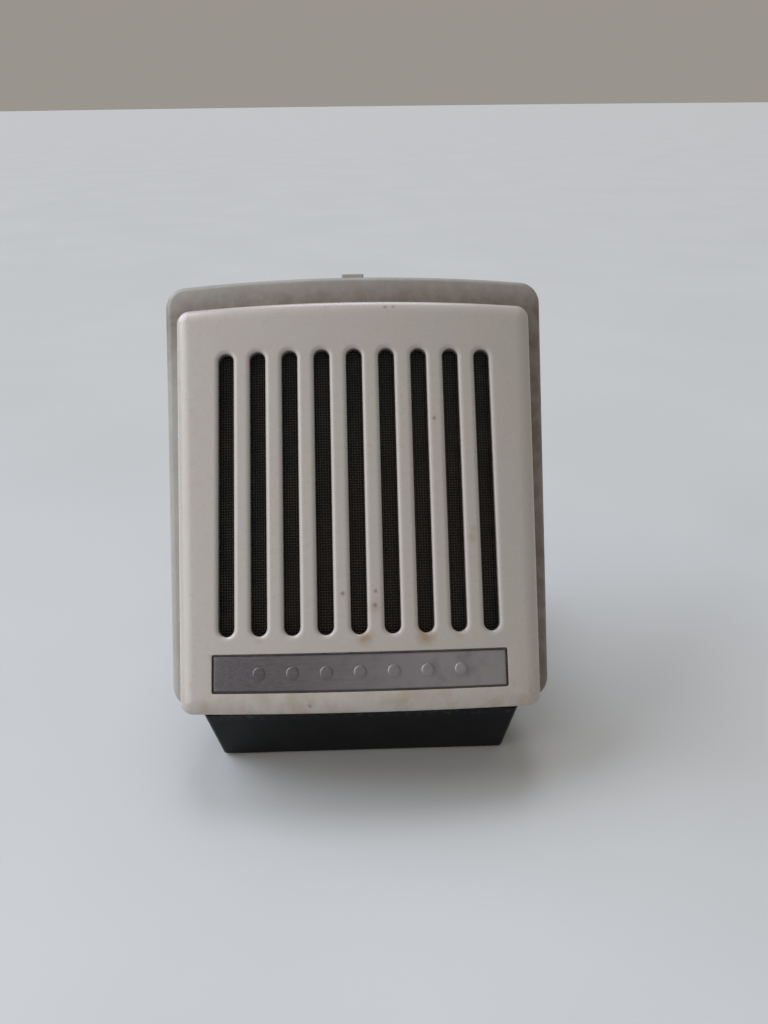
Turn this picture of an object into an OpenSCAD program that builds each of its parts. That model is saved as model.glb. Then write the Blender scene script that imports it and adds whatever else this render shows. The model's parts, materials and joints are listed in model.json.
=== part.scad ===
// Desk microphone with a moving-coil capsule: a slotted, tilting head on a weighted foot.
// All sizes are in millimetres. X points right, Y points to the back and Z points up.
// The origin is the middle of the foot's rubber sole, on the surface that it rests on.
// Head parts are drawn upright, with the crown of the front plate at y = 0 and the rim's
// lower edge at z = 0, and place_head() then leans them back onto the hinge.

/* [Front plate] */
// Height of the front plate's top edge above the rim's lower edge
plate_h = 74.7; // [73:0.1:75]
// How far the front plate hangs below the rim's lower edge
plate_drop = 0.8; // [0:0.1:0.8]
// Width of the front plate at its top edge
plate_w_top = 67.7; // [67:0.1:68.2]
// Width of the front plate at its bottom edge
plate_w_bottom = 65.4; // [65:0.1:66]
// Radius of the front plate's curve from side to side
face_r = 153; // [140:1:180]
// Thickness of the plate's front wall
plate_wall = 2.4; // [2:0.1:2.6]
// How far the plate stands out in front of the housing rim
rim_gap = 5; // [4.6:0.1:5.4]

/* [Slots and badge] */
// Number of sound slots
slot_count = 9; // [5:2:9]
// Distance from one slot to the next
slot_pitch = 6; // [5.6:0.1:6]
// Width of a slot
slot_w = 2.95; // [2:0.05:3.1]
// Lower end of the slots
slot_low = 12.9; // [12.5:0.1:14]
// Upper end of the slots
slot_high = 65.5; // [60:0.1:65.8]
// Width of the badge
badge_w = 52.9; // [40:0.1:54]
// Height of the badge
badge_h = 6.55; // [5:0.05:6.6]
// Lower edge of the badge
badge_low = 3.1; // [3:0.1:3.5]

/* [Rear housing] */
// Height of the housing rim
rim_h = 81.7; // [81:0.1:83]
// Width of the housing rim at its top
rim_w_top = 75; // [74.5:0.1:76]
// Width of the housing rim at its bottom
rim_w_bottom = 70.9; // [70.5:0.1:72]
// Depth from the plate's crown to the back of the housing
head_d = 24; // [24:0.1:25]
// Thickness of the housing walls
housing_wall = 2.2; // [2:0.1:2.4]
// Radius of the hole for the cable in the grommet
inlet_r = 2.2; // [1.8:0.1:2.4]
// Height of the cable inlet on the housing back
inlet_z = 39.5; // [39:0.1:41]

/* [Capsule] */
// Height of the capsule's centre
capsule_z = 46; // [45.8:0.1:46.5]
// Outer radius of the capsule basket
basket_r = 17; // [16.8:0.1:17.2]
// Inner radius of the voice coil
coil_r = 7.1; // [7.05:0.05:7.15]

/* [Foot and hinge] */
// Angle that the head leans back at its forward stop
lean = 35; // [34.5:0.1:35.5]
// Width of the foot at its bottom
foot_w = 54.8; // [54:0.2:56]
// Depth of the foot at its bottom
foot_d = 54; // [53:0.5:56]
// Radius of the foot's upright corners
foot_corner_r = 1; // [1:0.1:2.5]
// Height of the foot's top face
foot_top = 12.3; // [11.8:0.1:12.4]
// Radius of the hinge pin
pin_r = 1.5; // [1.3:0.05:1.6]
// Thickness of the rubber sole
sole_t = 1; // [0.8:0.1:1.2]

/* [Hidden] */
$fn = 96;

gap = 0.05;                    // clearance left between parts that only touch
corner_r = 2.3;                // radius of the front plate's corners
rim_corner_r = 3.8;            // radius of the rim's corners
face_y = -35.3;                // place of the upright head's origin when the head leans back
face_z = 18.75;
pivot_y = 28;                  // hinge axis, in the upright head
pivot_z = 18;
back_low = 8.5;                // lower and upper ends of the housing's flat back
back_high = 75.5;
back_half = 34;
post_x = 28.4;                 // the four screw posts between plate and housing
post_z = [15, 67];
post_y = 12;                   // where the plate's posts meet the housing's posts
collar_r = basket_r + 2.15;    // inner radius of the collar round the capsule
core_x = -10;                  // middle of the transformer
core_y = 15;
core_z = 17;
core_size = [14, 5, 12];
board_x = 12;                  // middle of the terminal board
board_z = 18;
bracket_screw_dx = 10.2;
lug_half = 8.6;                // half the width of the head's hinge lug
ear_in = 9.3;                  // inner and outer faces of the foot's hinge ears
ear_out = 12.5;
ear_r = 3.4;
skirt = 0.6;                   // height of the foot's lower edge above the table
cover_t = 1.6;
foot_screw_x = 22.6;
foot_screw_y = 20;
hinge_y = face_y + pivot_y * cos(lean) + pivot_z * sin(lean);
hinge_z = face_z - pivot_y * sin(lean) + pivot_z * cos(lean);

ivory = [0.66, 0.64, 0.60];
mid_grey = [0.50, 0.49, 0.47];
rubber = [0.10, 0.10, 0.11];
steel = [0.72, 0.73, 0.75];
copper = [0.72, 0.40, 0.22];

// ---------- helpers ----------

module place_head() {
    translate([0, face_y, face_z]) rotate([-lean, 0, 0]) children();
}

module place_capsule() {
    place_head() translate([0, 0, capsule_z]) rotate([-90, 0, 0]) children();
}

// A round bar that runs from front to back
module bar_y(x, z, front, back, r) {
    translate([x, front, z]) rotate([-90, 0, 0]) cylinder(h = back - front, r = r);
}

// A round bar that runs from left to right
module bar_x(left, right, y, z, r) {
    translate([left, y, z]) rotate([0, 90, 0]) cylinder(h = right - left, r = r);
}

// An upright slab with round corners whose top and bottom widths can differ
module slab(half_low, half_high, low, high, r, front, back) {
    for (side = [-1, 1]) {
        translate([side * (half_low - r), front, low + r]) rotate([-90, 0, 0])
            cylinder(h = back - front, r = r, $fn = 32);
        translate([side * (half_high - r), front, high - r]) rotate([-90, 0, 0])
            cylinder(h = back - front, r = r, $fn = 32);
    }
}

// Everything behind the curved face, at a given depth from the plate's front
module behind_face(depth) {
    translate([0, face_r + depth, -10]) cylinder(h = rim_h + 20, r = face_r, $fn = 360);
}

// The front plate's outline, shrunk by an inset
module plate_outline(inset, front, back, low = -plate_drop) {
    r = max(corner_r - inset, 0.6);
    hull() slab(plate_w_bottom / 2 - inset, plate_w_top / 2 - inset,
        low + inset, plate_h - inset, r, front, back);
}

// A block that follows the plate's curve between two depths
module curved_panel(half_w, low, high, depth_front, depth_back) {
    difference() {
        intersection() {
            translate([-half_w, -1, low]) cube([2 * half_w, 20, high - low]);
            behind_face(depth_front);
        }
        behind_face(depth_back);
    }
}

module each_post() {
    for (x = [-post_x, post_x], z = post_z) translate([x, 0, z]) children();
}

module each_slot() {
    for (i = [0 : slot_count - 1]) translate([(i - (slot_count - 1) / 2) * slot_pitch, 0, 0]) children();
}

module slot_cut() {
    translate([-slot_w / 2, -1, slot_low + slot_w / 2])
        cube([slot_w, 12, slot_high - slot_low - slot_w]);
    bar_y(0, slot_low + slot_w / 2, -1, 11, slot_w / 2);
    bar_y(0, slot_high - slot_w / 2, -1, 11, slot_w / 2);
}

// A rounded rectangle that lies flat
module pad(half_x, half_y, r, low, high) {
    hull() for (x = [-half_x + r, half_x - r], y = [-half_y + r, half_y - r])
        translate([x, y, low]) cylinder(h = high - low, r = r, $fn = 32);
}

function unit(v) = v / norm(v);

// The point at t along the curve that four control points steer
function curve_point(p, t) =
    pow(1 - t, 3) * p[0] + 3 * t * pow(1 - t, 2) * p[1] + 3 * t * t * (1 - t) * p[2] + pow(t, 3) * p[3];

function curve_way(p, t) =
    unit(pow(1 - t, 2) * (p[1] - p[0]) + 2 * t * (1 - t) * (p[2] - p[1]) + t * t * (p[3] - p[2]));

// A thin wire swept along the curve of four control points
module wire(control, r) {
    sides = 8;
    steps = 12;
    rings = [for (i = [0 : steps])
        let (at = curve_point(control, i / steps), way = curve_way(control, i / steps),
            right = unit(cross(way, [0, 0.6, 0.8])), up = cross(right, way))
        for (k = [0 : sides - 1])
            at + r * (cos(360 * k / sides) * right + sin(360 * k / sides) * up)];
    walls = [for (i = [0 : steps - 1], k = [0 : sides - 1])
        let (next = (k + 1) % sides)
        [i * sides + k, (i + 1) * sides + k, (i + 1) * sides + next, i * sides + next]];
    first_end = [for (k = [0 : sides - 1]) k];
    last_end = [for (k = [sides - 1 : -1 : 0]) steps * sides + k];
    polyhedron(rings, concat([first_end, last_end], walls), convexity = 4);
}

// ---------- head: outside ----------

module front_grille() {
    color(ivory) place_head() difference() {
        union() {
            difference() {
                intersection() {
                    plate_outline(0, -1, 12);
                    behind_face(0);
                }
                intersection() {
                    plate_outline(2.2, -2, 13);
                    behind_face(plate_wall);
                }
                behind_face(rim_gap - gap);
                each_slot() slot_cut();
            }
            each_post() bar_y(0, 0, plate_wall + 2, post_y - gap, 2);
        }
        each_post() bar_y(0, 0, post_y - 6, post_y + 1, 1.15);
        curved_panel(badge_w / 2 + 0.15, badge_low - 0.15, badge_low + badge_h + 0.15, -1, 0.5);
        for (side = [-1, 1]) bar_y(side * badge_w / 3, badge_low + badge_h / 2, 0, 6, 0.85);
    }
}

module badge() {
    color([0.42, 0.41, 0.42]) place_head()
        curved_panel(badge_w / 2, badge_low, badge_low + badge_h, 0.02, 0.5 - gap);
}

module badge_pins() {
    color(steel) place_head() for (side = [-1, 1]) {
        face = pow(badge_w / 3, 2) / (2 * face_r);
        bar_y(side * badge_w / 3, badge_low + badge_h / 2, face + 0.5, face + 3.2, 0.8);
    }
}

module gauze() {
    color([0.20, 0.18, 0.16]) place_head() difference() {
        curved_panel(27.4, 11.4, 67, plate_wall + gap, plate_wall + 0.35);
        each_post() bar_y(0, 0, 0, 12, 2.3);
    }
}

module gauze_frame() {
    color([0.16, 0.16, 0.17]) place_head() difference() {
        curved_panel(29.6, 10.6, 68.8, plate_wall + 0.4, plate_wall + 1.6);
        translate([-25.7, -1, 12.6]) cube([51.4, 20, 53.2]);
        each_post() bar_y(0, 0, 0, 14, 2.3);
    }
}

module housing_outer() {
    intersection() {
        union() {
            hull() {
                slab(rim_w_bottom / 2, rim_w_top / 2, 0, rim_h, rim_corner_r, 4, 10.5);
                slab(back_half, back_half, back_low, back_high, 7, 20, 22);
                slab(back_half - 2, back_half - 2, back_low + 2, back_high - 2, 6, 22, head_d);
            }
            translate([-2.2, 5.9, rim_h - 0.5]) cube([4.4, 2.6, 1.3]);
        }
        behind_face(rim_gap);
    }
}

// The cavity narrows to the back with the walls; its front edge stays clear of the sloping floor
module housing_inner() {
    plate_outline(1.8, 3, 13, 2.9);
    hull() {
        slab(rim_w_bottom / 2 - housing_wall - 0.7, rim_w_top / 2 - housing_wall - 0.7,
            housing_wall + 2.5, rim_h - housing_wall - 1.6, 2.4, 12.5, 13);
        slab(back_half - housing_wall - 0.4, back_half - housing_wall - 0.4,
            back_low + housing_wall, back_high - housing_wall, 5, 20, head_d - housing_wall);
    }
}

module rear_housing() {
    color(mid_grey) place_head() difference() {
        union() {
            difference() {
                housing_outer();
                housing_inner();
            }
            each_post() bar_y(0, 0, post_y, head_d - 0.4, 3.4);
            difference() {
                bar_y(0, capsule_z, 7.5, head_d - 1, collar_r + 1.6);
                bar_y(0, capsule_z, 7, head_d - housing_wall, collar_r);
                translate([-6.5, 15, capsule_z - collar_r - 3]) cube([13, 6.8, 6]);
            }
            for (side = [-1, 1])
                bar_y(core_x + side * bracket_screw_dx, core_z, 21, head_d - 1, 2.2);
            bar_y(board_x, board_z - 3.2, 20.2, head_d - 1, 2.2);
            bar_x(-lug_half, lug_half, pivot_y, pivot_z, ear_r);
            translate([-lug_half, head_d - 1, pivot_z - ear_r])
                cube([2 * lug_half, pivot_y - head_d + 1, 2 * ear_r]);
        }
        each_post() bar_y(0, 0, post_y - 1, head_d + 1, 1.45);
        each_post() bar_y(0, 0, head_d - 2.6, head_d + 1, 2.7);
        bar_y(0, inlet_z, head_d - 4, head_d + 1, 3.65);
        for (side = [-1, 1])
            bar_y(core_x + side * bracket_screw_dx, core_z, 20, head_d - 0.8, 0.95);
        bar_y(board_x, board_z - 3.2, 19, head_d - 0.8, 0.95);
        bar_x(-lug_half - 1, lug_half + 1, pivot_y, pivot_z, pin_r + 0.05);
    }
}

module housing_screws() {
    color(steel) place_head() each_post() difference() {
        union() {
            bar_y(0, 0, head_d - 2.55, head_d - 0.7, 2.4);
            bar_y(0, 0, 6.6, head_d - 2.5, 1.1);
        }
        translate([-0.35, head_d - 1.5, -3]) cube([0.7, 2, 6]);
    }
}

module cable_grommet() {
    color(rubber) place_head() difference() {
        union() {
            bar_y(0, inlet_z, head_d - housing_wall - 1.2, head_d - housing_wall - gap, 4.6);
            bar_y(0, inlet_z, head_d - housing_wall - 0.5, head_d + 0.5, 3.6);
            bar_y(0, inlet_z, head_d + gap, head_d + 1.6, 5.2);
            bar_y(0, inlet_z, head_d + 1, head_d + 5, 3.9);
        }
        bar_y(0, inlet_z, 15, head_d + 10, inlet_r);
    }
}

// ---------- head: capsule, drawn along its own axis from front to back ----------

module capsule_mount_ring() {
    color(rubber) place_capsule() difference() {
        translate([0, 0, 8]) cylinder(h = 5, r = collar_r - gap);
        translate([0, 0, 7]) cylinder(h = 7, r = basket_r + gap);
    }
}

module capsule_basket() {
    color([0.62, 0.62, 0.64]) place_capsule() difference() {
        translate([0, 0, 7.2]) cylinder(h = 6, r = basket_r);
        translate([0, 0, 6]) cylinder(h = 6, r = basket_r - 1.4);
        translate([0, 0, 6]) cylinder(h = 9, r = 10 + gap);
        for (turn = [0 : 45 : 315]) rotate(turn) translate([12.8, 0, 10]) cylinder(h = 5, r = 1.3, $fn = 24);
    }
}

module capsule_cover() {
    color([0.30, 0.30, 0.31]) place_capsule() difference() {
        translate([0, 0, 6.4]) cylinder(h = 0.75, r = basket_r - 0.1);
        for (ring = [1 : 3], step = [0 : 6 * ring - 1]) rotate(step * 60 / ring)
            translate([ring * 4, 0, 6]) cylinder(h = 2, r = 0.9, $fn = 16);
        translate([0, 0, 6]) cylinder(h = 2, r = 0.9, $fn = 16);
    }
}

module yoke_cup() {
    color(steel) place_capsule() difference() {
        translate([0, 0, 10.6]) cylinder(h = 8.4, r = 10);
        translate([0, 0, 10]) cylinder(h = 7.4, r = 8.3);
    }
}

module magnet() {
    color([0.35, 0.35, 0.37]) place_capsule() translate([0, 0, 12.4 + gap])
        cylinder(h = 5 - 2 * gap, r = 6.4);
}

module pole_plate() {
    color(steel) place_capsule() translate([0, 0, 10.6]) cylinder(h = 1.8, r = coil_r - 0.4);
}

module voice_coil() {
    color(copper) place_capsule() difference() {
        translate([0, 0, 9.35]) cylinder(h = 4, r = coil_r + 0.4);
        translate([0, 0, 9]) cylinder(h = 5, r = coil_r);
    }
}

// A thin cone-and-dome sheet; its dome bulges forward inside the voice coil's radius
module diaphragm() {
    dome_r = (pow(coil_r, 2) + 1) / 2;
    color([0.80, 0.78, 0.70]) place_capsule() {
        difference() {
            translate([0, 0, 9]) cylinder(h = 0.3, r = basket_r - 1.9);
            translate([0, 0, 8]) cylinder(h = 2, r = coil_r);
        }
        intersection() {
            difference() {
                translate([0, 0, 8 + dome_r]) sphere(r = dome_r, $fn = 180);
                translate([0, 0, 8 + dome_r]) sphere(r = dome_r - 0.3, $fn = 180);
            }
            translate([0, 0, 7]) cylinder(h = 2.3, r = coil_r + 0.2);
        }
    }
}

module damping_felt() {
    color([0.35, 0.33, 0.30]) place_capsule() difference() {
        translate([0, 0, 13.2 + gap]) cylinder(h = 1, r = 15.2);
        translate([0, 0, 13]) cylinder(h = 2, r = 10.3);
    }
}

// ---------- head: transformer, terminals and wires ----------

module transformer_core() {
    color([0.25, 0.25, 0.27]) place_head() translate([core_x, core_y, core_z]) difference() {
        cube(core_size, center = true);
        for (side = [-1, 1]) translate([side * 3.55, 0, 0]) cube([2.5, core_size[1] + 2, 7.6], center = true);
    }
}

module transformer_bobbin() {
    color([0.55, 0.36, 0.18]) place_head() translate([core_x, core_y, core_z]) difference() {
        for (side = [-1, 1]) translate([0, 0, side * 3.4]) cube([9.4, 11, 0.6], center = true);
        cube([4.7, core_size[1] + gap, 12], center = true);
    }
}

module transformer_winding() {
    color(copper) place_head() translate([core_x, core_y, core_z]) difference() {
        cube([9, 10.4, 6.1], center = true);
        cube([4.7, core_size[1] + gap, 12], center = true);
    }
}

module transformer_bracket() {
    arm_x = core_size[0] / 2 + gap;
    color(steel) place_head() translate([core_x, 0, core_z]) difference() {
        union() {
            translate([-12.4, 20.3, -3]) cube([24.8, 0.65, 6]);
            for (side = [-1, 1]) {
                translate([side * (arm_x + 0.35) - 0.35, 11.8, -3]) cube([0.7, 8.6, 6]);
                translate([side * (arm_x - 0.1) - 0.8, 11.8, -3]) cube([1.6, 0.6, 6]);
            }
        }
        for (side = [-1, 1]) bar_y(side * bracket_screw_dx, 0, 19, 23, 1.05);
    }
}

module terminal_board() {
    color([0.45, 0.28, 0.14]) place_head() difference() {
        translate([board_x - 7, 19, board_z - 5]) cube([14, 1.15, 10]);
        bar_y(board_x, board_z - 3.2, 18, 22, 1.05);
    }
}

module solder_tags() {
    color([0.80, 0.78, 0.70]) place_head() for (x = [-4.5, 0, 4.5])
        translate([board_x + x - 0.9, 18.5, board_z + 0.5]) cube([1.8, 0.45, 3.6]);
}

// One pan-head screw for the inside of the housing, its head in front
module inner_screw(x, z, front) {
    bar_y(x, z, front - 1, front - gap, 1.8);
    bar_y(x, z, front - 0.5, head_d - 1.2, 0.9);
}

module inner_screws() {
    color(steel) place_head() difference() {
        union() {
            for (side = [-1, 1]) inner_screw(core_x + side * bracket_screw_dx, core_z, 20.3);
            inner_screw(board_x, board_z - 3.2, 19);
        }
        for (side = [-1, 1]) translate([core_x + side * bracket_screw_dx - 3, 18, core_z - 0.25])
            cube([6, 1.8, 0.5]);
        translate([board_x - 3, 17, board_z - 3.45]) cube([6, 1.5, 0.5]);
    }
}

// Two wires from the capsule to the transformer and two from it to the terminals
module lead_wires() {
    r = 0.45;
    color([0.70, 0.12, 0.10]) place_head() {
        wire([[2.5, 14.8, 33.2], [2.5, 20, 31], [0, 21, 25], [-7, 19, 21.2]], r);
        wire([[-2.5, 14.8, 33.2], [-2.5, 19, 31], [-3, 20, 25], [-11, 19, 21.2]], r);
        wire([[-12, 11, 21.2], [-11, 10, 24.5], [2, 10, 24.5], [board_x - 4.5, 18, board_z + 3]], r);
        wire([[-8, 10.3, 21.2], [-5, 8.5, 24.5], [9, 9, 25], [board_x, 18, board_z + 3]], r);
    }
}

// ---------- hinge ----------

module place_hinge() {
    translate([0, hinge_y, hinge_z]) children();
}

module hinge_pin() {
    color(steel) place_hinge() difference() {
        bar_x(-14.6, 14.6, 0, 0, pin_r);
        for (side = [-1, 1]) difference() {
            translate([side * 13 - 0.35, 0, 0]) bar_x(0, 0.7, 0, 0, 3);
            translate([side * 13 - 0.35, 0, 0]) bar_x(0, 0.7, 0, 0, pin_r - 0.3);
        }
    }
}

module hinge_washers() {
    color([0.75, 0.65, 0.35]) place_hinge() for (side = [-1, 1]) difference() {
        bar_x(side * 8.95 - 0.28, side * 8.95 + 0.28, 0, 0, 3.1);
        bar_x(-12, 12, 0, 0, pin_r + 0.06);
    }
}

module hinge_clips() {
    color(steel) place_hinge() for (side = [-1, 1]) difference() {
        bar_x(side * 13 - 0.3, side * 13 + 0.3, 0, 0, 2.9);
        bar_x(-16, 16, 0, 0, pin_r - 0.26);
        translate([-16, -0.9, -4]) cube([32, 1.8, 4]);
    }
}

// ---------- foot ----------

// The foot widens upward; its front leans further out than its sides and back
module foot_body(inset, low, high) {
    flare = 1.7;
    front_flare = 3.3;
    r = max(foot_corner_r - inset / 2, 0.4);
    rise = 12.6;
    hull() for (z = [low, high]) {
        grow = (z - skirt) / rise;
        for (x = [-1, 1]) {
            wide = foot_w / 2 - inset - r + flare * grow;
            translate([x * wide, -foot_d / 2 + inset + r - front_flare * grow, z])
                cylinder(h = 0.01, r = r, $fn = 32);
            translate([x * wide, foot_d / 2 - inset - r + flare * grow, z])
                cylinder(h = 0.01, r = r, $fn = 32);
        }
    }
}

module each_foot_screw() {
    for (x = [-foot_screw_x, foot_screw_x], y = [-foot_screw_y, foot_screw_y])
        translate([x, y, 0]) children();
}

module foot_shell() {
    lip_back = -29.2;
    lip_top = foot_top + 1.2;
    color([0.09, 0.10, 0.11]) difference() {
        union() {
            difference() {
                foot_body(0, skirt, lip_top);
                translate([-40, lip_back, foot_top]) cube([80, 80, 5]);
                foot_body(2, skirt - 1, foot_top - 2);
            }
            each_foot_screw() translate([0, 0, skirt + cover_t + gap])
                cylinder(h = foot_top - 3.4, r = 2.8);
            place_hinge() for (side = [-1, 1]) {
                bar_x(side * (ear_in + ear_out) / 2 - 1.6, side * (ear_in + ear_out) / 2 + 1.6, 0, 0, ear_r);
                translate([side * (ear_in + ear_out) / 2 - 1.6, -ear_r, foot_top - 1 - hinge_z])
                    cube([3.2, 2 * ear_r, hinge_z - foot_top + 1]);
            }
        }
        each_foot_screw() translate([0, 0, 1]) cylinder(h = 8.4, r = 1.15);
        place_hinge() bar_x(-15, 15, 0, 0, pin_r + 0.02);
    }
}

module foot_ballast() {
    color([0.45, 0.44, 0.43]) pad(18.6, 21, 2, skirt + cover_t + gap, 8.6);
}

module foot_cover() {
    color([0.14, 0.14, 0.15]) difference() {
        pad(foot_w / 2 - 2.3, foot_d / 2 - 2.3, 1.7, skirt, skirt + cover_t);
        pad(19.15, 23.15, 2.1, skirt - 1, sole_t);
        each_foot_screw() cylinder(h = 6, r = 1.4);
        each_foot_screw() cylinder(h = skirt + 0.9, r = 2.45);
    }
}

module foot_screws() {
    color(steel) each_foot_screw() difference() {
        union() {
            translate([0, 0, skirt + 0.1]) cylinder(h = 0.75, r = 2.3);
            translate([0, 0, skirt + 0.5]) cylinder(h = 7, r = 1.1);
        }
        translate([-0.3, -3, 0]) cube([0.6, 6, skirt + 0.4]);
    }
}

module rubber_sole() {
    color(rubber) pad(19, 23, 2, 0, sole_t - gap);
}

front_grille();
badge();
badge_pins();
gauze();
gauze_frame();
rear_housing();
housing_screws();
cable_grommet();
capsule_mount_ring();
capsule_basket();
capsule_cover();
yoke_cup();
magnet();
pole_plate();
voice_coil();
diaphragm();
damping_felt();
transformer_core();
transformer_bobbin();
transformer_winding();
transformer_bracket();
terminal_board();
solder_tags();
inner_screws();
lead_wires();
hinge_pin();
hinge_washers();
hinge_clips();
foot_shell();
foot_ballast();
foot_cover();
foot_screws();
rubber_sole();
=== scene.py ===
"""Looks of the desk microphone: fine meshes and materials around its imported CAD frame.

Lengths in this script are millimetres. The head's shapes are drawn in its own upright frame and
leaned back by HEAD_TO_WORLD. The foot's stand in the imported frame. MM turns both into metres.
"""

import json
import math

import bmesh
import bpy
import numpy as np
from mathutils import Matrix, Vector
from mathutils.geometry import delaunay_2d_cdt


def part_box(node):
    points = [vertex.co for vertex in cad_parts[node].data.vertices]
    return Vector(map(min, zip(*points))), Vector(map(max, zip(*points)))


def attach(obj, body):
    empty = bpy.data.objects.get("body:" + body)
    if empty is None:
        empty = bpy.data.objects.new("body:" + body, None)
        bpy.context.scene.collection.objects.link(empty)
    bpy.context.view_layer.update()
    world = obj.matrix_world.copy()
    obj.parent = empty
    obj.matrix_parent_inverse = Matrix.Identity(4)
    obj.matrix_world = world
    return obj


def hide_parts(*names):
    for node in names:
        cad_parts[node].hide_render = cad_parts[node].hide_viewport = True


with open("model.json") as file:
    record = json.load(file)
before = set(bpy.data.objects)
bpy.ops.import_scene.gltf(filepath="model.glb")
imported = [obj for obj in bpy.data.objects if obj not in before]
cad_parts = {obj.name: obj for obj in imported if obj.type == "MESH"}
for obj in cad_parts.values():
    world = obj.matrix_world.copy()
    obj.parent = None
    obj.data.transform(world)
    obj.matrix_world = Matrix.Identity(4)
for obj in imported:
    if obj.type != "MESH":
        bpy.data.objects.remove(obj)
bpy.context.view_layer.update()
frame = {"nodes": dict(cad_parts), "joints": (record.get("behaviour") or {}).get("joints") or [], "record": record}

MM = 0.001

# ---------- the head's own frame ----------

mounts = {mount["name"]: mount for mount in frame["record"]["mounts"]}
hinge = next(joint for joint in frame["joints"] if joint["name"] == "head_tilt")
_, out_y, out_z = mounts["cable_inlet"]["axis"]
LEAN = math.atan2(-out_z, out_y)
PIVOT_IN_HEAD = Vector((0, 28, 18))
TO_WORLD_TURN = Matrix.Rotation(-LEAN, 4, "X")
HEAD_ORIGIN = Vector(hinge["pos_m"]) - TO_WORLD_TURN @ (PIVOT_IN_HEAD * MM)
HEAD_TO_WORLD = Matrix.Translation(HEAD_ORIGIN) @ TO_WORLD_TURN @ Matrix.Scale(MM, 4)
WORLD_TO_HEAD = HEAD_TO_WORLD.inverted()
FOOT_TO_WORLD = Matrix.Scale(MM, 4)


def head_box(node):
    """Lowest and highest corners of a CAD node in the upright head."""
    points = np.array([WORLD_TO_HEAD @ v.co for v in frame["nodes"][node].data.vertices])
    return points.min(0), points.max(0)


plate_low, plate_high = head_box("front_grille")
rim_high = head_box("rear_housing")[1]
badge_low, badge_high = head_box("badge")
gauze_low, gauze_high = head_box("gauze")

FACE_R = 153.0
PLATE_WALL = 2.4
RIM_GAP = 5.0
PLATE_TAPER = 1.15
PLATE_LOW = plate_low[2]
PLATE_H = plate_high[2]
PLATE_HALF_TOP = plate_high[0]
PLATE_HALF_BOTTOM = PLATE_HALF_TOP - PLATE_TAPER
PLATE_CORNER = 2.3
NUB_H = 0.8
RIM_TAPER = 2.05
RIM_H = rim_high[2] - NUB_H
RIM_HALF_TOP = rim_high[0]
RIM_HALF_BOTTOM = RIM_HALF_TOP - RIM_TAPER
HOUSING_BACK = 24.0
POST_X = 28.4
POST_Z = (15.0, 67.0)
INLET_Z = 39.5
CAPSULE_Z = 46.0
SLOT_COUNT = 9
SLOT_PITCH = 6.0
SLOT_W = 2.95
SLOT_LOW = 12.9
SLOT_HIGH = 65.5
SLOT_XS = [(i - (SLOT_COUNT - 1) / 2) * SLOT_PITCH for i in range(SLOT_COUNT)]


def face_y(x):
    """How far the curved front falls back at a distance x from the middle."""
    return FACE_R - math.sqrt(FACE_R * FACE_R - x * x)


# ---------- mesh helpers ----------


def rounded_ring(half_low, half_high, low, high, r, inset=0.0, across=36, up=26, corner=7):
    """Points round a slab whose top and bottom can differ in width, from below left."""
    r = max(r - inset, 0.12)
    left_low = half_low - inset - r
    left_high = half_high - inset - r
    floor = low + inset + r
    roof = high - inset - r
    points = []
    corners = [
        ((left_low, floor), -90, (-left_low, floor - r), (left_low, floor - r), across),
        ((left_high, roof), 0, (left_low + r, floor), (left_high + r, roof), up),
        ((-left_high, roof), 90, (left_high, roof + r), (-left_high, roof + r), across),
        ((-left_low, floor), 180, (-left_high - r, roof), (-left_low - r, floor), up),
    ]
    for centre, start, side_from, side_to, parts in corners:
        for i in range(parts):
            t = i / parts
            points.append(tuple(a + (b - a) * t for a, b in zip(side_from, side_to)))
        for i in range(corner):
            turn = math.radians(start + 90 * i / corner)
            points.append((centre[0] + r * math.cos(turn), centre[1] + r * math.sin(turn)))
    return points


def slot_ring(x, grow, arc=10, up=22):
    """Points round one upright slot with round ends, grown by a margin."""
    r = SLOT_W / 2 + grow
    top = SLOT_HIGH - SLOT_W / 2
    bottom = SLOT_LOW + SLOT_W / 2
    points = [(x + r, bottom + (top - bottom) * i / up) for i in range(up)]
    points += [
        (x + r * math.cos(math.pi * i / arc), top + r * math.sin(math.pi * i / arc))
        for i in range(arc)
    ]
    points += [(x - r, top + (bottom - top) * i / up) for i in range(up)]
    points += [
        (x - r * math.cos(math.pi * i / arc), bottom - r * math.sin(math.pi * i / arc))
        for i in range(arc)
    ]
    return points


def add_ring(bm, points, depth, curve=1.0):
    """Vertices for a ring of (x, z) points, at a depth behind the curved front."""
    return [bm.verts.new((x, face_y(x) * curve + depth, z)) for x, z in points]


def bridge(bm, ring_a, ring_b):
    """Quads between two rings with the same number of vertices."""
    n = len(ring_a)
    return [
        bm.faces.new((ring_a[i], ring_a[(i + 1) % n], ring_b[(i + 1) % n], ring_b[i]))
        for i in range(n)
    ]


def loft(bm, rings):
    """Bridges each ring to the next."""
    for ring_a, ring_b in zip(rings, rings[1:]):
        bridge(bm, ring_a, ring_b)


def turned(bm, x, z, profile, parts):
    """A solid turned about a line from front to back. The profile is (radius, depth) points."""
    turns = [2 * math.pi * i / parts for i in range(parts)]
    rings = []
    for r, y in profile:
        spots = [(x + r * math.cos(t), y, z + r * math.sin(t)) for t in turns] if r else [(x, y, z)]
        rings.append([bm.verts.new(spot) for spot in spots])
    for ring_a, ring_b in zip(rings, rings[1:] + rings[:1]):
        if len(ring_a) > 1 and len(ring_b) > 1:
            bridge(bm, ring_a, ring_b)
        elif len(ring_a) + len(ring_b) > 2:
            tip, rim = sorted((ring_a, ring_b), key=len)
            for i in range(parts):
                bm.faces.new((tip[0], rim[i], rim[(i + 1) % parts]))


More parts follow.
